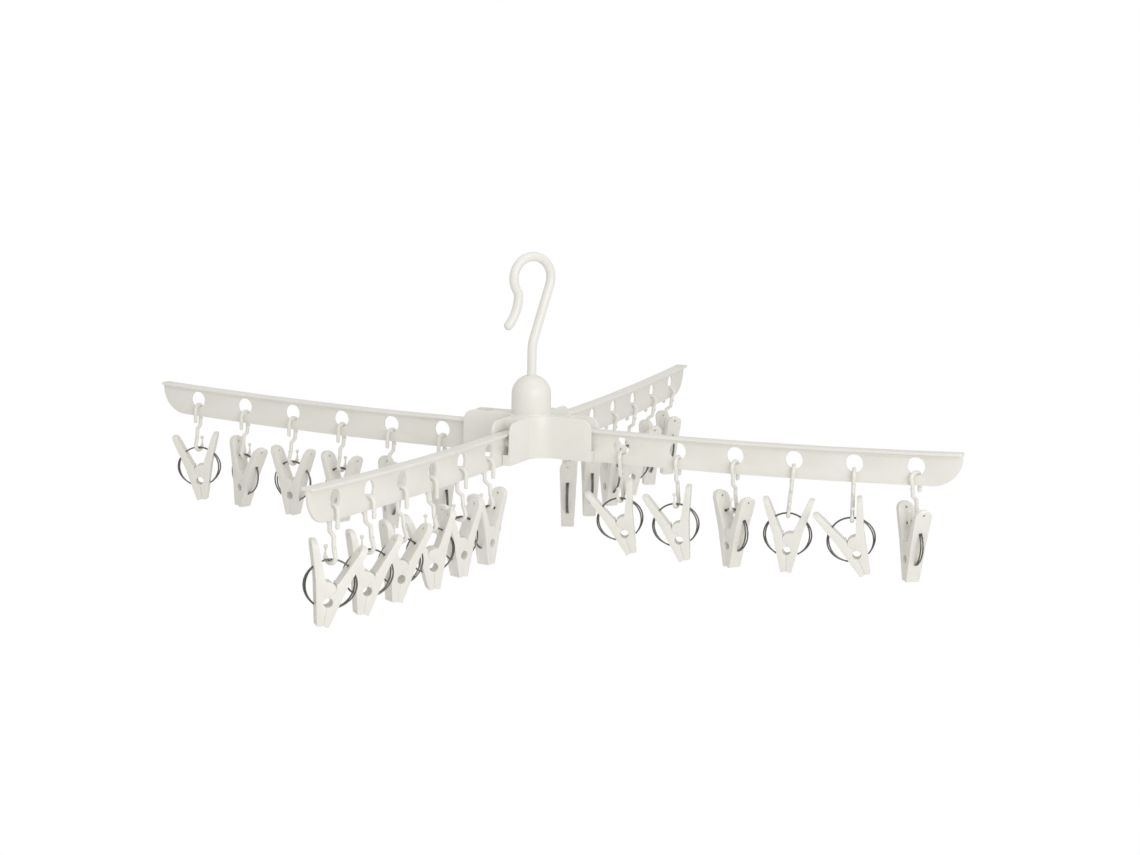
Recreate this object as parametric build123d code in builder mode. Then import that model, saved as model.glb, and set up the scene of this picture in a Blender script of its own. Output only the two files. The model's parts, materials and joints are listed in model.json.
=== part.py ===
from build123d import *
import os
from math import acos, asin, atan2, cos, degrees, hypot, radians, sin, sqrt

# Hanging rotary clothesline: four folding arms on a swivelling hub, six pegs on every arm.
# Millimetres, +Z up. The origin is the point inside the top of the hook's loop where the
# rail that carries the dryer touches it. The arms point along +X, +Y, -X and -Y.

# ---------------------------------------------------------------- driving dimensions

# hook: one moulded rod, a straight stem, a lean, an open loop and a flared tip
ROD = 7.5                    # rod diameter
LOOP_RADIUS = 17.3           # centreline of the loop
LOOP_SHIFT = 0.8             # the loop's centre stands this far off the stem
STEM_TOP = 53.7              # the lean starts this far below the loop's centre
LEAN_RADIUS = 30.0           # bend between stem and lean
LOOP_END = 35.0              # the loop stops this many degrees below its centre
NECK_RADIUS = 8.0            # small reverse bend where the loop turns into the tip
NECK_TURN = 37.0
TIP_RADIUS = 38.0            # gentle flare of the tip
TIP_TURN = 38.0
HOOK_HEADING = 235.0         # the plane of the loop, turned from +X about the stem
HEAD_RADIUS = 7.0            # moulded head that the dome rests on
HEAD_THICK = 3.0
HEAD_CHAMFER = 0.6

# dome cap over the head
DOME_RADIUS = 16.1
DOME_HEIGHT = 29.9
DOME_FLAT = 4.9              # radius of the small flat round the stem
DOME_WALL = 2.0
DOME_TOP_DROP = 92.95        # top of the dome below the bearing point
SLEEVE_RADIUS = 6.2          # bush inside the dome that the stem turns in
SLEEVE_LENGTH = 5.0
SNAP_COUNT = 3               # snap lugs that hold the dome on the hub's spigot
SNAP_RADIUS = 1.0
SNAP_LENGTH = 7.0

# hub: a cross of four forks round a hollow middle
HUB_HEIGHT = 34.2
FORK_WALL = 2.0
FORK_SIDE_GAP = 1.3          # free space each side of the arm's flange between the ears
HUB_FILLET = 15.5            # the hollow corners between neighbouring forks
EAR_ROUND = 9.0              # rounded top corner of each ear
POCKET_START = 35.5          # face of the wall at the back of each fork
POCKET_LENGTH = 21.5         # that wall to the mouth of the fork
SILL_HEIGHT = 8.5            # low cross wall at the mouth of each fork
COLLAR_LIP = 0.5             # the collar stands this far outside the dome
COLLAR_HEIGHT = 1.2
SPIGOT_HEIGHT = 6.0          # ring inside the dome's foot
SPIGOT_WALL = 1.8

# arms: a T section with a slight upward bow
HOLES = 6
HOLE_PITCH = 48.0
ROOT_LENGTH = 23.5           # mouth of the fork to the first hole
HOLE_RADIUS = 7.0
TIP_LENGTH = 35.2            # last hole to the arm's tip
ARM_BOW = 4900.0             # radius of the bow
ARM_ABOVE = 11.2             # hole line to the top of the flange
ARM_BELOW = 14.6             # hole line to the bottom of the web
WEB_THICK = 2.2
RIB_THICK = 4.2              # thicker band of web under the flange
RIB_HEIGHT = 2.4
FLANGE_WIDTH = 10.8
FLANGE_THICK = 1.8
TIP_START = 21.5             # length of the rounded lower corner at the tip
WEB_SETBACK = 0.3            # the flange reaches past the web at the tip
RIB_SETBACK = 1.0            # the thicker band stops this far short of the web's end

# pivots of the arms
PIVOT_TO_WALL = 10.5         # from the wall at the back of the fork
PIVOT_RISE = 4.0             # above the hole line
PIN_RADIUS = 3.0             # trunnion moulded on the arm's root
PIN_DEPTH = 1.2              # how far it enters each ear
BOSS_RADIUS = 5.2
HOLE_LINE_DROP = 20.2        # hole line below the top of the hub

# S link between arm and peg
LINK_WIRE = 3.2
LINK_BEND = 5.0              # centreline radius of both hooks of the link
LINK_DROP = 46.6             # hole centre to the link's lowest point
LINK_TIP = 20.5              # hole centre down to the end of the upper hook
LINK_UPPER_JOG = (16.0, 22.0)
LINK_LOWER_JOG = (27.0, 33.0)
LINK_JOG_RADIUS = 3.0
SPUR_RADIUS = 0.8            # small keeper spurs on the link
SPUR_REACH = 3.1
UPPER_SPUR_DEPTH = 17.4      # hole centre down to the spur under the arm's web
LOWER_SPUR_DEPTH = 33.6      # hole centre down to the spur over the lower hook
SEAT_GAP = 0.8               # play between link and hole

# peg: two jaws and a split ring
HANDLE_HEIGHT = 29.8         # ring centre up to the tips of the handles
NOSE_DEPTH = 29.2            # ring centre down to the nose
HANDLE_OUTER = 20.7          # half width across the handles
HANDLE_INNER = 16.5
WAIST_OUTER = 11.6
CROTCH_HALF = 4.5            # half width of the flat bottom of the V
CROTCH_HEIGHT = 2.0
NOSE_HALF = 4.25
PEG_WIDTH = 13.3
NOSE_WIDTH = 10.6
KNUCKLE_X = 0.4
KNUCKLE_Z = -2.4
KNUCKLE_RADIUS = 4.0
LINE_HOLE_RADIUS = 3.4
LINE_HOLE_DEPTH = 12.0
EYELET_RADIUS = 0.9
EYELET_DROP = 4.5
PANEL_WIDTH = 8.2            # recessed panel on the outside of each nose
PANEL_HEIGHT = 7.0
PANEL_DEPTH = 0.4
PANEL_RISE = 1.2             # panel's lower edge above the nose tip
NOTCH = 0.9                  # V notch between the two nose tips
NOTCH_HALF = 1.9             # half width of that notch
HANDLE_ROUND = 1.75          # rounded tips of the handles
SQUEEZE_ANGLE = 14.0
RING_RADIUS = 17.2
RING_WIRE = 1.2
RING_TURNS_APART = 1.1       # the two turns of wire lie side by side
RING_OPEN = 29.0             # each end stops this many degrees from the bottom
SLOT_OVERRUN = 2.0           # the jaws' grooves run this many degrees past those ends

# clearances
FIT = 0.05                   # running fit of pins and knuckles
PLAY = 0.25                  # everything else that moves past its neighbour
SPLIT = 0.12                 # parting gap between the two jaws
STOP_GAP = 0.2               # arm's root to the wall that stops it

# how the pegs hang, in degrees. Each arm has its direction, and for each of its pegs the turn
# of the ring from the arm, the tilt of the nose and the twist of the link
ARMS = {
    "right": (0.0, [
        (20, 20, -3), (15, 16, 0), (-34, 0, -9), (13, 0, 18), (15, 24, 16), (-53, 0, -28),
    ]),
    "far": (90.0, [
        (20, 0, 0), (30, 0, 0), (48, 0, 10), (-48, 0, -10), (35, 0, 0), (40, 0, 5),
    ]),
    "left": (180.0, [
        (-48, 0, -12), (-46, 0, -16), (-16, 0, -8), (-4, 0, -14), (-21, 10, -12), (203, 6, 0),
    ]),
    "near": (270.0, [
        (-8, 0, 0), (-20, 0, 0), (135, 4, -8), (-32, 10, 0), (-42, 10, -5), (-48, 12, -16),
    ]),
}
# links that don't hang plumb: sway across the arm and lean along it
LEANS = {("right", 4): (0.0, 4.5), ("near", 6): (-4.0, 0.0)}

# ---------------------------------------------------------------- places

LOOP_Z = ROD / 2 - LOOP_RADIUS
STEM_TOP_Z = LOOP_Z - STEM_TOP
DOME_TOP_Z = -DOME_TOP_DROP
DOME_FOOT_Z = DOME_TOP_Z - DOME_HEIGHT
HUB_TOP_Z = DOME_FOOT_Z - COLLAR_HEIGHT
HUB_BOTTOM_Z = HUB_TOP_Z - HUB_HEIGHT
HEAD_TOP_Z = DOME_TOP_Z - DOME_WALL - SLEEVE_LENGTH
HOLE_Z = HUB_TOP_Z - HOLE_LINE_DROP
PIVOT_Z = HOLE_Z + PIVOT_RISE
FORK_GAP = FLANGE_WIDTH + 2 * FORK_SIDE_GAP
FORK_WIDTH = FORK_GAP + 2 * FORK_WALL
FORK_REACH = POCKET_START + POCKET_LENGTH
PIVOT_REACH = POCKET_START + PIVOT_TO_WALL
HOLE_FIRST = FORK_REACH + ROOT_LENGTH
ARM_LENGTH = HOLE_FIRST + (HOLES - 1) * HOLE_PITCH + TIP_LENGTH
RING_SEAT = LINK_DROP - LINK_WIRE - PLAY - RING_WIRE / 2

os.makedirs("parts", exist_ok=True)


def bow(reach):
    """Height that the bowed arm has gained at this distance from the hub's axis."""
    run = max(0.0, reach - HOLE_FIRST)
    return ARM_BOW - sqrt(ARM_BOW**2 - run**2)


def arm_point(reach, height):
    """Point on the arm's side view, at a height above its own hole line."""
    return (reach, HOLE_Z + height + bow(reach))


# ---------------------------------------------------------------- hook

HEADING = Vector(cos(radians(HOOK_HEADING)), sin(radians(HOOK_HEADING)), 0)
HOOK_PLANE = Plane(origin=(0, 0, 0), x_dir=HEADING, z_dir=HEADING.cross(Vector(0, 0, 1)))

# the lean runs from the top of the stem and touches the loop's left side
to_loop = hypot(LOOP_SHIFT, STEM_TOP)
lean_heading = degrees(atan2(STEM_TOP, LOOP_SHIFT)) + degrees(asin(LOOP_RADIUS / to_loop))
lean_length = sqrt(to_loop**2 - LOOP_RADIUS**2)
lean_turn = lean_heading - 90
lean_setback = LEAN_RADIUS * sin(radians(lean_turn / 2)) / cos(radians(lean_turn / 2))
loop_turn = lean_heading + 90 + LOOP_END

with BuildPart() as hook:
    with BuildLine(HOOK_PLANE) as hook_path:
        stem = Line((0, HEAD_TOP_Z - HEAD_THICK), (0, STEM_TOP_Z - lean_setback))
        bend = JernArc(stem @ 1, stem % 1, LEAN_RADIUS, lean_turn)
        lean = Line(bend @ 1, bend @ 1 + (bend % 1) * (lean_length - lean_setback))
        loop = JernArc(lean @ 1, lean % 1, LOOP_RADIUS, -loop_turn)
        neck = JernArc(loop @ 1, loop % 1, NECK_RADIUS, NECK_TURN)
        flare = JernArc(neck @ 1, neck % 1, TIP_RADIUS, TIP_TURN)
    with BuildSketch(Plane(origin=stem @ 0, z_dir=(0, 0, 1))):
        Circle(ROD / 2)
    sweep(path=hook_path.wires()[0])
    with Locations(flare @ 1):
        Sphere(ROD / 2)
    with Locations((0, 0, HEAD_TOP_Z - HEAD_THICK / 2)):
        Cylinder(HEAD_RADIUS, HEAD_THICK)
    head_rim = hook.edges().filter_by(GeomType.CIRCLE).group_by(Axis.Z)[0]
    chamfer(head_rim, HEAD_CHAMFER)
hook.part.label = "hook"
export_step(hook.part, "parts/hook.step")

# ---------------------------------------------------------------- dome cap

dome_inner = DOME_RADIUS - DOME_WALL
shoulder_z = DOME_TOP_Z - sqrt(DOME_RADIUS**2 - DOME_FLAT**2)
snap_z = DOME_FOOT_Z + SPIGOT_HEIGHT / 2

with BuildPart() as dome_cap:
    with BuildSketch(Plane.XZ) as dome_profile:
        with BuildLine():
            Line((0, DOME_FOOT_Z), (DOME_RADIUS, DOME_FOOT_Z))
            Line((DOME_RADIUS, DOME_FOOT_Z), (DOME_RADIUS, shoulder_z))
            CenterArc((0, shoulder_z), DOME_RADIUS, 0, degrees(acos(DOME_FLAT / DOME_RADIUS)))
            Line((DOME_FLAT, DOME_TOP_Z), (0, DOME_TOP_Z))
            Line((0, DOME_TOP_Z), (0, DOME_FOOT_Z))
        make_face()
    revolve(axis=Axis.Z)
    with BuildSketch(Plane.XZ):
        with BuildLine():
            inner_flat = dome_inner * DOME_FLAT / DOME_RADIUS
            inner_top = shoulder_z + sqrt(dome_inner**2 - inner_flat**2)
            Line((0, DOME_FOOT_Z), (dome_inner, DOME_FOOT_Z))
            Line((dome_inner, DOME_FOOT_Z), (dome_inner, shoulder_z))
            CenterArc((0, shoulder_z), dome_inner, 0, degrees(acos(inner_flat / dome_inner)))
            Line((inner_flat, inner_top), (0, inner_top))
            Line((0, inner_top), (0, DOME_FOOT_Z))
        make_face()
    revolve(axis=Axis.Z, mode=Mode.SUBTRACT)
    with BuildSketch(Plane.XY.offset(HEAD_TOP_Z)):
        Circle(SLEEVE_RADIUS)
    extrude(amount=SLEEVE_LENGTH + DOME_WALL / 2)
    with BuildSketch(Plane.XY.offset(HEAD_TOP_Z)):
        Circle(ROD / 2 + FIT)
    extrude(amount=DOME_TOP_Z - HEAD_TOP_Z, mode=Mode.SUBTRACT)
    with PolarLocations(0, SNAP_COUNT, angular_range=360):
        with Locations((dome_inner, 0, snap_z)):
            Box(SNAP_RADIUS, SNAP_LENGTH, SNAP_RADIUS)
dome_cap.part.label = "dome_cap"
export_step(dome_cap.part, "parts/dome_cap.step")

# ---------------------------------------------------------------- hub

spigot_radius = dome_inner - PLAY / 2

with BuildPart() as hub_body:
    with BuildSketch(Plane.XY.offset(HUB_BOTTOM_Z)) as hub_plan:
        Rectangle(2 * FORK_REACH, FORK_WIDTH)
        Rectangle(FORK_WIDTH, 2 * FORK_REACH)
        inner_corners = hub_plan.vertices().filter_by(
            lambda v: abs(v.X) < FORK_WIDTH and abs(v.Y) < FORK_WIDTH
        )
        fillet(inner_corners, HUB_FILLET)
    extrude(amount=HUB_HEIGHT)
    mouth_edges = hub_body.edges().filter_by(
        lambda e: abs(e.center().Z - HUB_TOP_Z) < 0.01
        and max(abs(e.center().X), abs(e.center().Y)) > FORK_REACH - 0.01
    )
    fillet(mouth_edges, EAR_ROUND)
    # hollow middle, open below
    with BuildSketch(Plane.XY.offset(HUB_BOTTOM_Z)) as hollow_plan:
        Rectangle(2 * (POCKET_START - FORK_WALL), FORK_GAP)
        Rectangle(FORK_GAP, 2 * (POCKET_START - FORK_WALL))
        hollow_corners = hollow_plan.vertices().filter_by(
            lambda v: abs(v.X) < FORK_WIDTH and abs(v.Y) < FORK_WIDTH
        )
        fillet(hollow_corners, HUB_FILLET + FORK_WALL)
    extrude(amount=HUB_HEIGHT - FORK_WALL, mode=Mode.SUBTRACT)
    # pockets for the arms' roots, open above and below, with a slotted sill at the mouth
    with BuildSketch(Plane.XY.offset(HUB_BOTTOM_Z)):
        with PolarLocations(POCKET_START + POCKET_LENGTH / 2, 4):
            Rectangle(POCKET_LENGTH, FORK_GAP)
    extrude(amount=HUB_HEIGHT, mode=Mode.SUBTRACT)
    with BuildSketch(Plane.XY.offset(HUB_BOTTOM_Z)):
        with PolarLocations(FORK_REACH - FORK_WALL / 2, 4):
            Rectangle(FORK_WALL, FORK_GAP)
        with PolarLocations(FORK_REACH - FORK_WALL / 2, 4):
            Rectangle(2 * FORK_WALL, WEB_THICK + 4 * PLAY, mode=Mode.SUBTRACT)
    extrude(amount=SILL_HEIGHT)
    # blind bearings for the trunnions
    for turn in range(4):
        ear_plane = Plane(
            origin=Vector(PIVOT_REACH, 0, PIVOT_Z).rotate(Axis.Z, 90 * turn),
            z_dir=Vector(0, 1, 0).rotate(Axis.Z, 90 * turn),
        )
        with BuildSketch(ear_plane):
            Circle(PIN_RADIUS + FIT)
        extrude(amount=FORK_GAP / 2 + PIN_DEPTH + FIT, both=True, mode=Mode.SUBTRACT)
    # collar and spigot that carry the dome cap
    with BuildSketch(Plane.XY.offset(HUB_TOP_Z)):
        Circle(DOME_RADIUS + COLLAR_LIP)
    extrude(amount=COLLAR_HEIGHT)
    with BuildSketch(Plane.XY.offset(DOME_FOOT_Z)):
        Circle(spigot_radius)
        Circle(spigot_radius - SPIGOT_WALL, mode=Mode.SUBTRACT)
    extrude(amount=SPIGOT_HEIGHT)
    with BuildSketch(Plane.XZ):
        with Locations((spigot_radius, snap_z)):
            Rectangle(2 * SNAP_RADIUS, 2 * SNAP_RADIUS)
    revolve(axis=Axis.Z, mode=Mode.SUBTRACT)
hub_body.part.label = "hub_body"
export_step(hub_body.part, "parts/hub_body.step")

# ---------------------------------------------------------------- arm

web_tip = ARM_LENGTH - WEB_SETBACK
corner_start = web_tip - TIP_START
root_start = POCKET_START + STOP_GAP
middle = (HOLE_FIRST + ARM_LENGTH) / 2
root_radius = PIVOT_TO_WALL - STOP_GAP
flange_start = PIVOT_REACH - sqrt(root_radius**2 - (ARM_ABOVE - PIVOT_RISE) ** 2)
rib_low = ARM_ABOVE - FLANGE_THICK - RIB_HEIGHT

with BuildPart() as arm:
    # web, with its rounded lower corner at the tip
    with BuildSketch(Plane.XZ):
        with BuildLine():
            under = Line(arm_point(root_start, -ARM_BELOW), arm_point(HOLE_FIRST, -ARM_BELOW))
            belly = ThreePointArc(
                under @ 1, arm_point(middle, -ARM_BELOW), arm_point(corner_start, -ARM_BELOW)
            )
            nose = TangentArc(belly @ 1, arm_point(web_tip, ARM_ABOVE), tangent=belly % 1)
            back = ThreePointArc(
                nose @ 1, arm_point(middle, ARM_ABOVE), arm_point(HOLE_FIRST, ARM_ABOVE)
            )
            root = Line(back @ 1, arm_point(flange_start, ARM_ABOVE))
            heel = RadiusArc(root @ 1, arm_point(root_start, PIVOT_RISE), -root_radius)
            Line(heel @ 1, under @ 0)
        make_face()
    extrude(amount=WEB_THICK / 2, both=True)
    # thicker band under the flange, then the flange itself
    for low, high, width, reach in (
        (rib_low, ARM_ABOVE, RIB_THICK, web_tip - RIB_SETBACK),
        (ARM_ABOVE - FLANGE_THICK, ARM_ABOVE, FLANGE_WIDTH, ARM_LENGTH),
    ):
        with BuildSketch(Plane.XZ):
            with BuildLine():
                bottom = Line(arm_point(flange_start, low), arm_point(HOLE_FIRST, low))
                lower = ThreePointArc(bottom @ 1, arm_point(middle, low), arm_point(reach, low))
                end = Line(lower @ 1, arm_point(reach, high))
                upper = ThreePointArc(
                    end @ 1, arm_point(middle, high), arm_point(HOLE_FIRST, high)
                )
                top = Line(upper @ 1, arm_point(flange_start, high))
                Line(top @ 1, bottom @ 0)
            make_face()
        extrude(amount=width / 2, both=True)
    # round boss and the two trunnions
    pivot_plane = Plane(origin=(PIVOT_REACH, 0, PIVOT_Z), z_dir=(0, 1, 0))
    with BuildSketch(pivot_plane):
        Circle(BOSS_RADIUS)
    extrude(amount=FORK_GAP / 2 - PLAY, both=True)
    with BuildSketch(pivot_plane):
        Circle(PIN_RADIUS)
    extrude(amount=FORK_GAP / 2 + PIN_DEPTH, both=True)
    # holes for the links
    for station in range(HOLES):
        reach = HOLE_FIRST + station * HOLE_PITCH
        with BuildSketch(Plane(origin=(reach, 0, HOLE_Z + bow(reach)), z_dir=(0, 1, 0))):
            Circle(HOLE_RADIUS)
        extrude(amount=FLANGE_WIDTH, both=True, mode=Mode.SUBTRACT)
    flange_corners = arm.edges().filter_by(Axis.Z).filter_by(
        lambda e: e.center().X > ARM_LENGTH - 0.5 and abs(e.center().Y) > RIB_THICK
    )
    fillet(flange_corners, FLANGE_THICK)

# ---------------------------------------------------------------- S link, hung at a hole centre

link_top = LINK_WIRE / 2 + SEAT_GAP - HOLE_RADIUS
upper_z = link_top - LINK_BEND
lower_z = LINK_WIRE / 2 - LINK_DROP + LINK_BEND

with BuildPart() as link:
    with BuildLine(Plane.YZ) as link_path:
        upper_tip = Line((LINK_BEND, -LINK_TIP), (LINK_BEND, upper_z))
        CenterArc((0, upper_z), LINK_BEND, 0, 180)
        FilletPolyline(
            (-LINK_BEND, upper_z),
            (-LINK_BEND, -LINK_UPPER_JOG[0]),
            (0, -LINK_UPPER_JOG[1]),
            (0, -LINK_LOWER_JOG[0]),
            (LINK_BEND, -LINK_LOWER_JOG[1]),
            (LINK_BEND, lower_z),
            radius=LINK_JOG_RADIUS,
        )
        CenterArc((0, lower_z), LINK_BEND, 0, -180)
        lower_tip = Line((-LINK_BEND, lower_z), (-LINK_BEND, -LINK_LOWER_JOG[1]))
    with BuildSketch(Plane(origin=upper_tip @ 0, z_dir=(0, 0, 1))):
        Circle(LINK_WIRE / 2)
    sweep(path=link_path.wires()[0])
    with Locations(upper_tip @ 0, lower_tip @ 1):
        Sphere(LINK_WIRE / 2)
    # keeper spurs: one under the arm's web, one over the lower hook
    for side, depth in ((-1, UPPER_SPUR_DEPTH), (1, LOWER_SPUR_DEPTH)):
        spur_foot = Vector(0, side * LINK_BEND, -depth)
        with BuildSketch(Plane(origin=spur_foot, z_dir=(0, -side, 0))):
            Circle(SPUR_RADIUS)
        extrude(amount=SPUR_REACH)

# ---------------------------------------------------------------- peg: split ring

with BuildPart() as ring:
    ring_start = Plane(
        origin=(0, 0, 0),
        x_dir=(sin(radians(RING_OPEN)), 0, -cos(radians(RING_OPEN))),
        z_dir=(cos(radians(RING_OPEN)), 0, sin(radians(RING_OPEN))),
    )
    with BuildSketch(ring_start):
        with Locations(
            (RING_RADIUS, -RING_TURNS_APART / 2), (RING_RADIUS, RING_TURNS_APART / 2)
        ):
            Circle(RING_WIRE / 2)
    revolve(axis=Axis((0, 0, 0), (0, -1, 0)), revolution_arc=360 - 2 * RING_OPEN)

# ---------------------------------------------------------------- peg: the two jaws

# while the moving jaw swings, the ring shifts this far in that jaw's own frame
from_knuckle = Vector(-KNUCKLE_X, 0, -KNUCKLE_Z)
squeezed = from_knuckle.rotate(Axis.Y, -SQUEEZE_ANGLE)
ring_shift = squeezed - from_knuckle

nose_rise = CROTCH_HEIGHT + NOSE_DEPTH
nose_slope = degrees(atan2(WAIST_OUTER - NOSE_HALF, nose_rise))
panel_up = PANEL_RISE + PANEL_HEIGHT / 2
panel_x = NOSE_HALF + panel_up * (WAIST_OUTER - NOSE_HALF) / nose_rise
slot_thick = RING_WIRE + 2 * PLAY
slot_wide = RING_WIRE + RING_TURNS_APART + 2 * PLAY
knuckle_plane = Plane(origin=(KNUCKLE_X, 0, KNUCKLE_Z), z_dir=(0, 1, 0))

jaws = {}
# side 1 is the fixed jaw with the round knuckle, side -1 the moving jaw with the socket
for side, crotch, slot_open, slot_places in (
    (1, SPLIT / 2, RING_OPEN - SLOT_OVERRUN, (0.0,)),
    (-1, KNUCKLE_RADIUS - KNUCKLE_X, RING_OPEN - SLOT_OVERRUN - SQUEEZE_ANGLE, (0.0, 0.5, 1.0)),
):
    with BuildPart() as half:
        with BuildSketch(Plane.XZ) as front:
            with BuildLine():
                Polyline(
                    (side * SPLIT / 2, -NOSE_DEPTH + NOTCH),
                    (side * NOTCH_HALF, -NOSE_DEPTH),
                    (side * NOSE_HALF, -NOSE_DEPTH),
                    (side * WAIST_OUTER, CROTCH_HEIGHT),
                    (side * HANDLE_OUTER, HANDLE_HEIGHT),
                    (side * HANDLE_INNER, HANDLE_HEIGHT),
                    (side * CROTCH_HALF, CROTCH_HEIGHT),
                    (side * crotch, CROTCH_HEIGHT),
                    (side * crotch, KNUCKLE_Z),
                    (side * SPLIT / 2, KNUCKLE_Z - KNUCKLE_RADIUS / 2),
                    close=True,
                )
            make_face()
            fillet(front.vertices().group_by(Axis.Y)[-1], HANDLE_ROUND)
        extrude(amount=PEG_WIDTH / 2, both=True)
        if side == 1:
            with BuildSketch(knuckle_plane):
                Circle(KNUCKLE_RADIUS)
            extrude(amount=PEG_WIDTH / 2, both=True)
        else:
            with BuildSketch(knuckle_plane):
                Circle(KNUCKLE_RADIUS + FIT)
            extrude(amount=PEG_WIDTH, both=True, mode=Mode.SUBTRACT)
        # wide round handle above, narrower nose below
        with BuildSketch(Plane.YZ):
            with BuildLine():
                foot = Polyline(
                    (-PEG_WIDTH / 2, HANDLE_HEIGHT - PEG_WIDTH / 2),
                    (-NOSE_WIDTH / 2, -NOSE_DEPTH),
                    (NOSE_WIDTH / 2, -NOSE_DEPTH),
                    (PEG_WIDTH / 2, HANDLE_HEIGHT - PEG_WIDTH / 2),
                )
                ThreePointArc(foot @ 1, (0, HANDLE_HEIGHT, 0), foot @ 0)
            make_face()
        extrude(amount=HANDLE_OUTER + 1, both=True, mode=Mode.INTERSECT)
        # round hole for the line
        with BuildSketch(Plane.XZ):
            with Locations((0, -LINE_HOLE_DEPTH)):
                Circle(LINE_HOLE_RADIUS)
        extrude(amount=PEG_WIDTH, both=True, mode=Mode.SUBTRACT)
        # eyelet through the handle
        with BuildSketch(Plane.YZ.offset(side * CROTCH_HALF)):
            with Locations((0, HANDLE_HEIGHT - EYELET_DROP)):
                Circle(EYELET_RADIUS)
        extrude(amount=side * HANDLE_OUTER, mode=Mode.SUBTRACT)
        # recessed panel on the nose
        with BuildSketch(
            Plane(
                origin=(side * panel_x, 0, -NOSE_DEPTH + panel_up),
                x_dir=(0, 1, 0),
                z_dir=(side * cos(radians(nose_slope)), 0, -sin(radians(nose_slope))),
            )
        ):
            Rectangle(PANEL_WIDTH, PANEL_HEIGHT)
        extrude(amount=-PANEL_DEPTH, mode=Mode.SUBTRACT)
        # groove for the ring, wide enough for the ring's shift
        for part_way in slot_places:
            groove_centre = ring_shift * part_way
            with BuildSketch(
                Plane(
                    origin=groove_centre,
                    x_dir=(sin(radians(slot_open)), 0, -cos(radians(slot_open))),
                    z_dir=(cos(radians(slot_open)), 0, sin(radians(slot_open))),
                )
            ):
                with Locations((RING_RADIUS, 0)):
                    Rectangle(slot_thick, slot_wide)
            revolve(
                axis=Axis(groove_centre, (0, -1, 0)),
                revolution_arc=360 - 2 * slot_open,
                mode=Mode.SUBTRACT,
            )
    jaws[side] = half.part

# ---------------------------------------------------------------- arms and pegs in place

for arm_name, (direction, pegs) in ARMS.items():
    to_arm = Location((0, 0, 0), (0, 0, direction))
    arm_part = arm.part.moved(to_arm)
    arm_part.label = f"arm_{arm_name}"
    export_step(arm_part, f"parts/arm_{arm_name}.step")
    for station, (turn, tilt, twist) in enumerate(pegs):
        number = station + 1
        reach = HOLE_FIRST + station * HOLE_PITCH
        sway, lean = LEANS.get((arm_name, number), (0, 0))
        at_hole = to_arm * Location((reach, 0, HOLE_Z + bow(reach)))
        at_seat = at_hole * Location((0, 0, link_top), (sway, lean, 0))
        link_part = link.part.moved(at_seat * Location((0, 0, -link_top), (0, 0, twist)))
        link_part.label = "link"
        ring_top = (at_seat * Location((0, 0, -link_top - RING_SEAT))).position
        at_ring = Location(ring_top - Vector(0, 0, RING_RADIUS), (0, 0, direction + turn))
        at_peg = at_ring * Location((0, 0, 0), (0, -tilt, 0))
        jaw_part = jaws[1].moved(at_peg)
        jaw_part.label = "jaw"
        ring_part = ring.part.moved(at_peg)
        ring_part.label = "ring"
        peg = Compound(label=f"peg_{arm_name}_{number}", children=[link_part, jaw_part, ring_part])
        export_step(peg, f"parts/peg_{arm_name}_{number}.step")
        lever_part = jaws[-1].moved(at_peg)
        lever_part.label = f"lever_{arm_name}_{number}"
        export_step(lever_part, f"parts/lever_{arm_name}_{number}.step")
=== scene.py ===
import bmesh
import bpy
import json
import math
from mathutils import Matrix, Vector


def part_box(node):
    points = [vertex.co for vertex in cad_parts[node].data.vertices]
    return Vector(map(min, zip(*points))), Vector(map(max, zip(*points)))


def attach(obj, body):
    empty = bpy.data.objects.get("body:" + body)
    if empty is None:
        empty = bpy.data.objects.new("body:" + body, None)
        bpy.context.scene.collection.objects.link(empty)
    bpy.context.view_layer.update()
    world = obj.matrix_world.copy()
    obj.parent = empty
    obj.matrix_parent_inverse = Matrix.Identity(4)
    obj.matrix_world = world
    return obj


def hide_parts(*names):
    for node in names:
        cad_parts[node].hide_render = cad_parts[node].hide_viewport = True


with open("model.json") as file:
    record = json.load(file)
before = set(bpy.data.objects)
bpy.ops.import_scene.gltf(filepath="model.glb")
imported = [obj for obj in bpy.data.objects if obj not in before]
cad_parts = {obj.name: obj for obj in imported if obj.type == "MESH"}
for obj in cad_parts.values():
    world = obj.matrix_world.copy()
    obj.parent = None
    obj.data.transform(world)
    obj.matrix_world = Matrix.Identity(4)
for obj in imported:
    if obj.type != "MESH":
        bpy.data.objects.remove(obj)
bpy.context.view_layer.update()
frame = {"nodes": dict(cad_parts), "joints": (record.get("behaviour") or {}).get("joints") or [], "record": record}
joints = {joint["name"]: joint for joint in frame["joints"]}
mounts = {mount["name"]: mount for mount in frame["record"]["mounts"]}
ARM_NAMES = ("right", "far", "left", "near")
MM = 0.001

# ---------------------------------------------------------------- moulded plastic
# Everything but the rings is one off-white polypropylene, moulded in separate lots, so hook,
# hub, arms and pegs differ a little in tone and gloss. The skin has a faint orange peel.

SHADED = (0.955, 0.955, 0.935)


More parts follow.
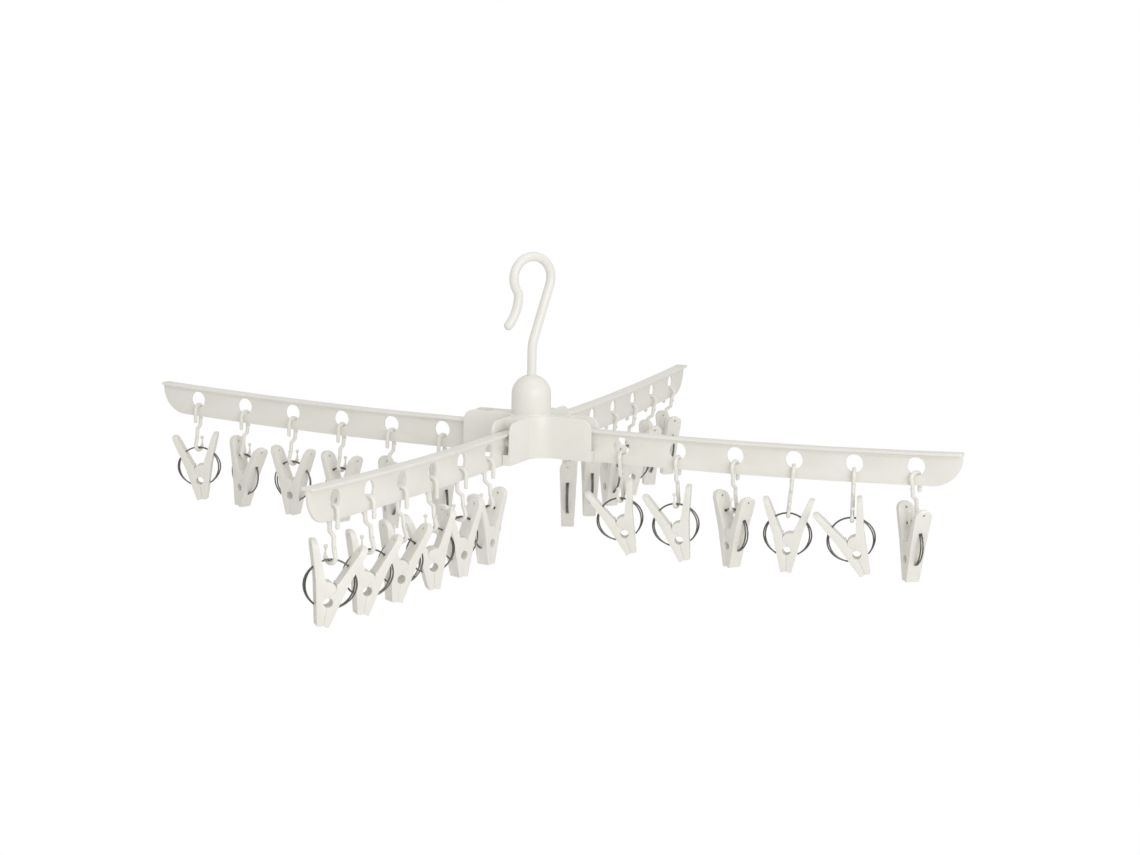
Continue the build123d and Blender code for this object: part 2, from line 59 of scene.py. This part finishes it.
def moulded_plastic(name, colour, roughness, peel):
    """Off-white moulded plastic: cloudy tone, uneven gloss and a fine orange-peel skin."""
    material = bpy.data.materials.new(name)
    material.use_nodes = True
    nodes = material.node_tree.nodes
    links = material.node_tree.links
    shader = nodes["Principled BSDF"]
    shader.inputs["Subsurface Weight"].default_value = 0.12
    shader.inputs["Subsurface Radius"].default_value = (1.0, 0.9, 0.7)
    shader.inputs["Subsurface Scale"].default_value = 1.5 * MM
    shader.inputs["IOR"].default_value = 1.49
    place = nodes.new("ShaderNodeTexCoord")

    cloud = nodes.new("ShaderNodeTexNoise")
    cloud.inputs["Scale"].default_value = 28.0
    cloud.inputs["Detail"].default_value = 4.0
    links.new(place.outputs["Object"], cloud.inputs["Vector"])
    tone = nodes.new("ShaderNodeValToRGB")
    tone.color_ramp.elements[0].position = 0.3
    shaded = [channel * share for channel, share in zip(colour, SHADED)]
    tone.color_ramp.elements[0].color = (*shaded, 1)
    tone.color_ramp.elements[1].position = 0.72
    tone.color_ramp.elements[1].color = (*colour, 1)
    links.new(cloud.outputs["Fac"], tone.inputs["Fac"])
    links.new(tone.outputs["Color"], shader.inputs["Base Color"])

    scuffs = nodes.new("ShaderNodeTexNoise")
    scuffs.inputs["Scale"].default_value = 160.0
    scuffs.inputs["Detail"].default_value = 6.0
    scuffs.inputs["Roughness"].default_value = 0.7
    links.new(place.outputs["Object"], scuffs.inputs["Vector"])
    gloss = nodes.new("ShaderNodeMapRange")
    gloss.inputs["To Min"].default_value = roughness - 0.07
    gloss.inputs["To Max"].default_value = roughness + 0.1
    links.new(scuffs.outputs["Fac"], gloss.inputs["Value"])
    links.new(gloss.outputs["Result"], shader.inputs["Roughness"])

    skin = nodes.new("ShaderNodeTexNoise")
    skin.inputs["Scale"].default_value = 900.0
    skin.inputs["Detail"].default_value = 2.0
    links.new(place.outputs["Object"], skin.inputs["Vector"])
    bump = nodes.new("ShaderNodeBump")
    bump.inputs["Strength"].default_value = peel
    bump.inputs["Distance"].default_value = 0.1 * MM
    links.new(skin.outputs["Fac"], bump.inputs["Height"])
    links.new(bump.outputs["Normal"], shader.inputs["Normal"])
    return material


hook_plastic = moulded_plastic("hook_plastic", (0.86, 0.855, 0.83), 0.3, 0.15)
hub_plastic = moulded_plastic("hub_plastic", (0.855, 0.845, 0.81), 0.32, 0.2)
arm_plastic = moulded_plastic("arm_plastic", (0.85, 0.84, 0.805), 0.38, 0.25)
peg_plastic = moulded_plastic("peg_plastic", (0.84, 0.83, 0.795), 0.4, 0.25)


WELD_DISTANCE = 0.002
FLAT_WITHIN = 0.4
ROUNDED_ABOVE = 32.0
CREASED_ABOVE = 38.0


def welded(node):
    """The CAD node's own shape as one clean mesh: loose triangles joined, flat faces whole."""
    mesh = bpy.data.meshes.new(node + "_shape")
    shape = bmesh.new()
    shape.from_mesh(frame["nodes"][node].data)
    bmesh.ops.remove_doubles(shape, verts=shape.verts, dist=WELD_DISTANCE * MM)
    bmesh.ops.dissolve_limit(
        shape, angle_limit=math.radians(FLAT_WITHIN), verts=shape.verts, edges=shape.edges
    )
    shape.to_mesh(mesh)
    shape.free()
    return mesh


def break_edges(mesh, width):
    """Rounds every sharp edge to the given width in millimetres, as a moulding's edges are."""
    shape = bmesh.new()
    shape.from_mesh(mesh)
    corners = [
        edge for edge in shape.edges
        if len(edge.link_faces) == 2 and edge.calc_face_angle(0.0) > math.radians(ROUNDED_ABOVE)
    ]
    bmesh.ops.bevel(
        shape, geom=corners, offset=width * MM, offset_type="OFFSET", segments=2,
        profile=0.6, affect="EDGES", clamp_overlap=True,
    )
    shape.to_mesh(mesh)
    shape.free()
    mesh.shade_smooth()
    mesh.set_sharp_from_angle(angle=math.radians(CREASED_ABOVE))


def finished_piece(name, mesh, material, body):
    """Puts a mesh in the scene as one piece that moves with a body."""
    piece = bpy.data.objects.new(name, mesh)
    bpy.context.scene.collection.objects.link(piece)
    mesh.materials.clear()
    mesh.materials.append(material)
    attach(piece, body)
    return piece


# ---------------------------------------------------------------- hook
# One moulded rod: a straight stem, a lean, an almost closed loop and a flared round tip. It is
# moulded in one with a head that turns inside the dome.

ROD = 7.5
LOOP_RADIUS = 17.3
LOOP_SHIFT = 0.8
STEM_TOP = 53.7
LEAN_RADIUS = 30.0
LOOP_END = 35.0
NECK_RADIUS, NECK_TURN = 8.0, 37.0
TIP_RADIUS, TIP_TURN = 38.0, 38.0
HOOK_HEADING = 235.0
HEAD_RADIUS = 7.0
HEAD_THICK = 3.0
HEAD_TAPER = 0.6
END_STEPS = 6


class Pen:
    """Draws a flat path as a list of points: straight runs and arcs that start where it is."""

    def __init__(self, start, heading):
        self.points = [Vector(start)]
        self.heading = heading

    def ahead(self):
        angle = math.radians(self.heading)
        return Vector((math.cos(angle), math.sin(angle)))

    def run(self, length, steps=2):
        start = self.points[-1]
        for step in range(1, steps + 1):
            self.points.append(start + self.ahead() * length * step / steps)

    def arc(self, radius, turn, step_angle=4.0):
        """Turns left for a positive angle, right for a negative one."""
        steps = max(2, round(abs(turn) / step_angle))
        half_step = turn / steps / 2
        chord = 2 * radius * math.sin(math.radians(abs(half_step)))
        for _ in range(steps):
            self.heading += half_step
            self.points.append(self.points[-1] + self.ahead() * chord)
            self.heading += half_step


def round_end(points, radius):
    """Closes a rod's last stretch in a half ball: its new points, and the radius at each."""
    last = points[-1]
    back = (points[-2] - last).normalized()
    body = [p for p in points if (p - last).length > radius]
    radii = [radius] * len(body)
    smallest = radius / 50
    for step in range(END_STEPS + 1):
        angle = math.radians(90 * step / END_STEPS)
        body.append(last + back * radius * (1 - math.sin(angle)))
        radii.append(max(radius * math.cos(angle), smallest))
    return body, radii


def rod_tree(name, material):
    """Geometry nodes that sweep a round rod along a path, and give it its material."""
    tree = bpy.data.node_groups.new(name, "GeometryNodeTree")
    face = tree.interface
    face.new_socket("Geometry", in_out="INPUT", socket_type="NodeSocketGeometry")
    radius = face.new_socket("Rod radius", in_out="INPUT", socket_type="NodeSocketFloat")
    sides = face.new_socket("Sides", in_out="INPUT", socket_type="NodeSocketInt")
    face.new_socket("Geometry", in_out="OUTPUT", socket_type="NodeSocketGeometry")
    new = tree.nodes.new
    given, result = new("NodeGroupInput"), new("NodeGroupOutput")
    circle = new("GeometryNodeCurvePrimitiveCircle")
    sweep = new("GeometryNodeCurveToMesh")
    sweep.inputs["Fill Caps"].default_value = True
    size = new("GeometryNodeInputRadius")
    smooth = new("GeometryNodeSetShadeSmooth")
    realize = new("GeometryNodeRealizeInstances")
    paint = new("GeometryNodeSetMaterial")
    paint.inputs["Material"].default_value = material
    join = tree.links.new
    join(given.outputs["Rod radius"], circle.inputs["Radius"])
    join(given.outputs["Sides"], circle.inputs["Resolution"])
    join(given.outputs["Geometry"], sweep.inputs["Curve"])
    join(circle.outputs["Curve"], sweep.inputs["Profile Curve"])
    join(size.outputs["Radius"], sweep.inputs["Scale"])
    join(sweep.outputs["Mesh"], smooth.inputs["Geometry"])
    join(smooth.outputs["Geometry"], realize.inputs["Geometry"])
    join(realize.outputs["Geometry"], paint.inputs["Geometry"])
    join(paint.outputs["Geometry"], result.inputs["Geometry"])
    return tree, radius.identifier, sides.identifier


def swept_rod(name, points, radii, radius, sides, material):
    """Mesh of a round rod along 3-D points; radii scale it from point to point."""
    curve = bpy.data.curves.new(name + "_path", "CURVE")
    curve.dimensions = "3D"
    spline = curve.splines.new("POLY")
    spline.points.add(len(points) - 1)
    for vertex, point, size in zip(spline.points, points, radii):
        vertex.co = (*point, 1)
        vertex.radius = size / radius
    path = bpy.data.objects.new(name + "_path", curve)
    bpy.context.scene.collection.objects.link(path)
    tree, radius_socket, sides_socket = rod_tree(name + "_sweep", material)
    sweep = path.modifiers.new("sweep", "NODES")
    sweep.node_group = tree
    sweep[radius_socket] = radius
    sweep[sides_socket] = sides
    view = bpy.context.evaluated_depsgraph_get()
    mesh = bpy.data.meshes.new_from_object(path.evaluated_get(view))
    bpy.data.objects.remove(path)
    mesh.name = name
    return mesh


to_loop = math.hypot(LOOP_SHIFT, STEM_TOP)
lean_turn = math.degrees(math.atan2(STEM_TOP, LOOP_SHIFT) + math.asin(LOOP_RADIUS / to_loop)) - 90
lean_setback = LEAN_RADIUS * math.tan(math.radians(lean_turn / 2))
lean_length = math.sqrt(to_loop**2 - LOOP_RADIUS**2)
hook_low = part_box("hook")[0].z / MM
stem_top_z = ROD / 2 - LOOP_RADIUS - STEM_TOP

pen = Pen((0, hook_low + HEAD_THICK / 2), 90)
pen.run(stem_top_z - lean_setback - hook_low - HEAD_THICK / 2, steps=6)
pen.arc(LEAN_RADIUS, lean_turn)
pen.run(lean_length - lean_setback, steps=6)
pen.arc(LOOP_RADIUS, -(lean_turn + 180 + LOOP_END))
pen.arc(NECK_RADIUS, NECK_TURN)
pen.arc(TIP_RADIUS, TIP_TURN)
pen.run(ROD / 2)
hook_points, hook_radii = round_end(pen.points, ROD / 2)
heading = Vector((math.cos(math.radians(HOOK_HEADING)), math.sin(math.radians(HOOK_HEADING)), 0))
hook_line = [(heading * p.x + Vector((0, 0, p.y))) * MM for p in hook_points]
hook_mesh = swept_rod(
    "hook", hook_line, [r * MM for r in hook_radii], ROD / 2 * MM, 48, hook_plastic
)
hook = finished_piece("hook_rod", hook_mesh, hook_plastic, "hook")

# the head inside the dome, a short turned disc
head_mesh = bpy.data.meshes.new("hook_head")
head = bmesh.new()
bmesh.ops.create_cone(
    head, cap_ends=True, segments=48, radius1=(HEAD_RADIUS - HEAD_TAPER) * MM,
    radius2=HEAD_RADIUS * MM, depth=HEAD_THICK * MM,
    matrix=Matrix.Translation((0, 0, (hook_low + HEAD_THICK / 2) * MM)),
)
head.to_mesh(head_mesh)
head.free()
hook_head = finished_piece("hook_head", head_mesh, hook_plastic, "hook")
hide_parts("hook")
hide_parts("hook")

# ---------------------------------------------------------------- dome cap and hub
# Two thin-walled mouldings snapped together. The hub is a cross of four forks round a hollow
# middle; the dome covers the hook's head.

DOME_EDGE = 0.25
HUB_EDGE = 0.45

for node, width in (("dome_cap", DOME_EDGE), ("hub_body", HUB_EDGE)):
    shell = welded(node)
    break_edges(shell, width)
    piece = finished_piece(node + "_moulding", shell, hub_plastic, "hub")
    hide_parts(node)

# ---------------------------------------------------------------- arms
# Four T-section mouldings with a slight upward bow, a row of round holes and a rounded tip.

ARM_EDGE = 0.3

for arm_name in ARM_NAMES:
    node = "arm_" + arm_name
    section = welded(node)
    break_edges(section, ARM_EDGE)
    piece = finished_piece(node + "_moulding", section, arm_plastic, node)
    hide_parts(node)

# ---------------------------------------------------------------- S links
# A round-section moulded link in each hole: an upper hook round the web's lower edge, a shank
# with two small jogs, and a lower hook the other way that carries the peg's ring. Each hook
# has a small spur that keeps what hangs in it from jumping out.

LINK_WIRE = 3.2
LINK_BEND = 5.0
LINK_DROP = 46.6
LINK_TIP = 20.5
LINK_JOGS = ((-LINK_BEND, 16.0), (0.0, 22.0), (0.0, 27.0), (LINK_BEND, 33.0))
LINK_JOG_RADIUS = 3.0
LINK_CREASED_ABOVE = 50.0
BEND_STEP = 9.0
UPPER_SPUR_DEPTH = 17.4
LOWER_SPUR_DEPTH = 33.6
SPUR_BASE = 1.0
SPUR_END = 0.56
SPUR_REACH = 3.1
HOLE_RADIUS = 7.0
SEAT_GAP = 0.8


def rounded_corners(points, radius, steps=5):
    """The same path with each inner corner replaced by an arc of that radius."""
    path = [points[0]]
    for before, corner, after in zip(points, points[1:], points[2:]):
        back, on = (before - corner).normalized(), (after - corner).normalized()
        half = back.angle(on) / 2
        reach = radius / math.tan(half)
        middle = corner + (back + on).normalized() * radius / math.sin(half)
        first, last = corner + back * reach - middle, corner + on * reach - middle
        for step in range(steps + 1):
            path.append(middle + first.slerp(last, step / steps))
    path.append(points[-1])
    return path


link_top = LINK_WIRE / 2 + SEAT_GAP - HOLE_RADIUS
upper_z = link_top - LINK_BEND
lower_z = LINK_WIRE / 2 - LINK_DROP + LINK_BEND
link_pen = Pen((LINK_BEND, -LINK_TIP), 90)
link_pen.run(upper_z + LINK_TIP)
link_pen.arc(LINK_BEND, 180, BEND_STEP)
shank = rounded_corners(
    [Vector((-LINK_BEND, upper_z))]
    + [Vector((side, -depth)) for side, depth in LINK_JOGS]
    + [Vector((LINK_BEND, lower_z))],
    LINK_JOG_RADIUS,
)
link_pen.points += shank[1:]
link_pen.heading = -90
link_pen.arc(LINK_BEND, -180, BEND_STEP)
link_pen.run(-LINK_JOGS[-1][1] - lower_z)
from_tip, tip_radii = round_end(link_pen.points, LINK_WIRE / 2)
both_ends, start_radii = round_end(list(reversed(from_tip)), LINK_WIRE / 2)
# the lower end's taper comes twice, so the link is thin again just behind its rounded tip
lower_taper = list(reversed(tip_radii[-END_STEPS - 1:]))
link_radii = lower_taper + lower_taper[1:]
link_radii += start_radii[len(link_radii):]
link_mesh = swept_rod(
    "link", [Vector((0, p.x, p.y)) * MM for p in both_ends],
    [r * MM for r in link_radii], LINK_WIRE / 2 * MM, 20, peg_plastic,
)
spurs = bmesh.new()
spurs.from_mesh(link_mesh)
for side, depth in ((-1, UPPER_SPUR_DEPTH), (1, LOWER_SPUR_DEPTH)):
    spur_centre = Vector((0, side * (LINK_BEND - SPUR_REACH / 2), -depth)) * MM
    spur_place = Matrix.Translation(spur_centre) @ Matrix.Rotation(math.radians(90 * side), 4, "X")
    bmesh.ops.create_cone(
        spurs, cap_ends=True, segments=12, radius1=SPUR_BASE * MM, radius2=SPUR_END * MM,
        depth=SPUR_REACH * MM, matrix=spur_place,
    )
spurs.to_mesh(link_mesh)
spurs.free()
link_mesh.shade_smooth()
link_mesh.set_sharp_from_angle(angle=math.radians(LINK_CREASED_ABOVE))

# ---------------------------------------------------------------- steel rings
# The peg's spring: two turns of drawn round wire side by side. They are open at the bottom,
# between the jaws, where the wire turns back from the first turn into the second.

RING_RADIUS = 17.2
RING_WIRE = 1.2
RING_OPEN = 29.0
RING_SPREAD = 1.5

steel = bpy.data.materials.new("ring_steel")
steel.use_nodes = True
steel_nodes = steel.node_tree.nodes
steel_links = steel.node_tree.links
bright = steel_nodes["Principled BSDF"]
bright.inputs["Metallic"].default_value = 1.0
steel_place = steel_nodes.new("ShaderNodeTexCoord")
drawing = steel_nodes.new("ShaderNodeTexNoise")
drawing.inputs["Scale"].default_value = 1400.0
drawing.inputs["Detail"].default_value = 5.0
steel_links.new(steel_place.outputs["Object"], drawing.inputs["Vector"])
drawn_tone = steel_nodes.new("ShaderNodeValToRGB")
drawn_tone.color_ramp.elements[0].color = (0.10, 0.09, 0.08, 1)
drawn_tone.color_ramp.elements[1].color = (0.26, 0.245, 0.225, 1)
steel_links.new(drawing.outputs["Fac"], drawn_tone.inputs["Fac"])
steel_links.new(drawn_tone.outputs["Color"], bright.inputs["Base Color"])
drawn_gloss = steel_nodes.new("ShaderNodeMapRange")
drawn_gloss.inputs["To Min"].default_value = 0.16
drawn_gloss.inputs["To Max"].default_value = 0.34
steel_links.new(drawing.outputs["Fac"], drawn_gloss.inputs["Value"])
steel_links.new(drawn_gloss.outputs["Result"], bright.inputs["Roughness"])


def turn_of_wire(side, first, last, spread=0.0, steps=72):
    """One turn of the ring. Spread is how far out it stands at its left and right."""
    points = []
    for step in range(steps + 1):
        angle = math.radians(first + (last - first) * step / steps)
        radius = RING_RADIUS + spread * math.cos(angle) ** 4
        points.append(Vector((
            radius * math.cos(angle), side * RING_WIRE / 2, radius * math.sin(angle),
        )))
    return points


ring_points = turn_of_wire(-1, RING_OPEN - 90, 270 - RING_OPEN)
ring_points += turn_of_wire(1, 270 - RING_OPEN, RING_OPEN - 90, RING_SPREAD)
ring_mesh = swept_rod(
    "ring", [p * MM for p in ring_points], [RING_WIRE / 2 * MM] * len(ring_points),
    RING_WIRE / 2 * MM, 10, steel,
)

# ---------------------------------------------------------------- pegs
# Each peg is a fixed jaw with a round knuckle, a moving jaw with the socket, and the ring.
# All pegs are alike, so one jaw of each kind is finished and set in every place.

NOSE_DEPTH = 29.2
PEG_EDGE = 0.35
MODEL_PEG = "right_4"


def peg_place(label):
    """Where a peg's own frame stands: ring's centre, spread along X, width along Y."""
    nose = mounts["jaws_" + label]
    up = -Vector(nose["axis"]).normalized()
    across = Vector(joints["squeeze_" + label]["axis"]).normalized()
    place = Matrix((across.cross(up), across, up)).transposed().to_4x4()
    place.translation = Vector(nose["pos_m"]) + up * NOSE_DEPTH * MM
    return place


def loose_parts(mesh):
    """The separate shells of a mesh, each as its own mesh."""
    whole = bmesh.new()
    whole.from_mesh(mesh)
    whole.verts.ensure_lookup_table()
    left = set(whole.verts)
    shells = []
    while left:
        grown = [left.pop()]
        shell = set(grown)
        while grown:
            for edge in grown.pop().link_edges:
                for vertex in edge.verts:
                    if vertex not in shell:
                        shell.add(vertex)
                        grown.append(vertex)
        left -= shell
        shells.append({vertex.index for vertex in shell})
    whole.free()
    parts = []
    for kept in shells:
        part = bmesh.new()
        part.from_mesh(mesh)
        part.verts.ensure_lookup_table()
        gone = [vertex for vertex in part.verts if vertex.index not in kept]
        bmesh.ops.delete(part, geom=gone, context="VERTS")
        piece = bpy.data.meshes.new("jaw")
        part.to_mesh(piece)
        part.free()
        parts.append(piece)
    return parts


def largest_face(mesh):
    """Area of a mesh's largest face."""
    return max(polygon.area for polygon in mesh.polygons)


# of a peg node's three shells, only the jaw has big flat sides
jaw_mesh = max(loose_parts(welded("peg_" + MODEL_PEG)), key=largest_face)
lever_mesh = welded("lever_" + MODEL_PEG)
for mesh in (jaw_mesh, lever_mesh):
    mesh.transform(peg_place(MODEL_PEG).inverted())
    break_edges(mesh, PEG_EDGE)

# the links twist in their holes, each by its own angle from the line across the arm
LINK_TWIST = {
    "right": (-3, 0, -9, 18, 16, -28),
    "far": (0, 0, 10, -10, 0, 5),
    "left": (-12, -16, -8, -14, -12, 0),
    "near": (0, 0, -8, 0, -5, -16),
}


def link_place(label, twist):
    """Where a link's own frame stands: at its hole, in line with the ring it carries."""
    seat = Vector(joints["swing_" + label]["pos_m"])
    ring_top = peg_place(label).translation + Vector((0, 0, RING_RADIUS * MM))
    lean = Vector((0, 0, 1)).rotation_difference(seat - ring_top).to_matrix().to_4x4()
    along = Vector(joints["swing_" + label]["axis"]).cross(Vector((0, 0, 1)))
    turn = math.atan2(-along.y, -along.x) + math.radians(twist)
    return (
        Matrix.Translation(seat) @ lean
        @ Matrix.Translation((0, 0, -link_top * MM)) @ Matrix.Rotation(turn, 4, "Z")
    )


for arm_name, twists in LINK_TWIST.items():
    for number, twist in enumerate(twists, start=1):
        label = f"{arm_name}_{number}"
        place = peg_place(label)
        for part_name, source, spot, material, slot in (
            ("link_", link_mesh, link_place(label, twist), peg_plastic, "peg_plastic"),
            ("jaw_", jaw_mesh, place, peg_plastic, "peg_plastic"),
            ("ring_", ring_mesh, place, steel, "peg_plastic"),
        ):
            mesh = source.copy()
            mesh.transform(spot)
            piece = finished_piece(part_name + label, mesh, material, "peg_" + label)
            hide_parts("peg_" + label)
        mesh = lever_mesh.copy()
        mesh.transform(place)
        piece = finished_piece(
            "moving_jaw_" + label, mesh, peg_plastic, "lever_" + label
        )
        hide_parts("lever_" + label)

# ---------------------------------------------------------------- studio
# A pale floor far below the hanging dryer, soft light from the front right and from above.

FLOOR_HALF = 30
FLOOR_LEVEL = -1.3

floor_mesh = bpy.data.meshes.new("floor")
corners = [(x * FLOOR_HALF, y * FLOOR_HALF, FLOOR_LEVEL) for x, y in (
    (-1, -1), (1, -1), (1, 1), (-1, 1)
)]
floor_mesh.from_pydata(corners, [], [(0, 1, 2, 3)])
floor = bpy.data.objects.new("floor", floor_mesh)
bpy.context.scene.collection.objects.link(floor)


def white_to_look_at(tree, lit, white, surface):
    """Shows plain white where it is looked at, and sends only its softer light onto the dryer."""
    ray = tree.nodes.new("ShaderNodeLightPath")
    chosen = tree.nodes.new("ShaderNodeMixShader")
    tree.links.new(ray.outputs["Is Camera Ray"], chosen.inputs["Fac"])
    tree.links.new(lit, chosen.inputs[1])
    tree.links.new(white, chosen.inputs[2])
    tree.links.new(chosen.outputs["Shader"], surface)


pale = bpy.data.materials.new("pale_floor")
pale.use_nodes = True
pale_nodes = pale.node_tree.nodes
pale_shader = pale_nodes["Principled BSDF"]
pale_shader.inputs["Base Color"].default_value = (0.92, 0.91, 0.89, 1)
pale_shader.inputs["Roughness"].default_value = 0.9
pale_glow = pale_nodes.new("ShaderNodeEmission")
white_to_look_at(
    pale.node_tree, pale_shader.outputs["BSDF"], pale_glow.outputs["Emission"],
    pale_nodes["Material Output"].inputs["Surface"],
)
floor_mesh.materials.append(pale)

world = bpy.data.worlds.new("studio")
bpy.context.scene.world = world
world.use_nodes = True
sky = world.node_tree
sky.nodes["Background"].inputs["Color"].default_value = (1, 1, 1, 1)
soft_sky = sky.nodes.new("ShaderNodeBackground")
soft_sky.inputs["Color"].default_value = (1.0, 0.99, 0.965, 1)
soft_sky.inputs["Strength"].default_value = 0.7
white_to_look_at(
    sky, soft_sky.outputs["Background"], sky.nodes["Background"].outputs["Background"],
    sky.nodes["World Output"].inputs["Surface"],
)


def soft_light(name, place, target, size, power):
    """A square softbox that faces a point."""
    lamp = bpy.data.lights.new(name, "AREA")
    lamp.size = size
    lamp.energy = power
    light = bpy.data.objects.new(name, lamp)
    bpy.context.scene.collection.objects.link(light)
    light.location = place
    aim = Vector(target) - Vector(place)
    light.rotation_euler = aim.to_track_quat("-Z", "Y").to_euler()


hub_centre = (0, 0, -0.14)
soft_light("key", (1.4, -1.3, 0.35), hub_centre, 1.2, 13)
soft_light("top", (0.3, -0.2, 1.6), hub_centre, 1.4, 4)

# the camera looks a little down on the dryer, slightly rolled, from the front right
AZIMUTH, ELEVATION, ROLL = (math.radians(angle) for angle in (23.23, 9.44, 1.22))
camera_data = bpy.data.cameras.new("camera")
camera_data.lens = 64.5
camera_data.sensor_width = 36.0
camera_data.clip_end = 100.0
camera = bpy.data.objects.new("camera", camera_data)
bpy.context.scene.collection.objects.link(camera)
backward = Vector((
    math.sin(AZIMUTH) * math.cos(ELEVATION),
    -math.cos(AZIMUTH) * math.cos(ELEVATION),
    math.sin(ELEVATION),
))
level = Vector((math.cos(AZIMUTH), math.sin(AZIMUTH), 0))
upright = backward.cross(level)
side_axis = level * math.cos(ROLL) + upright * math.sin(ROLL)
up_axis = upright * math.cos(ROLL) - level * math.sin(ROLL)
camera_place = Matrix((side_axis, up_axis, backward)).transposed().to_4x4()
camera_place.translation = Vector((0.6788, -1.5001, 0.1384))
camera.matrix_world = camera_place
bpy.context.scene.camera = camera
bpy.context.scene.view_settings.view_transform = "Standard"
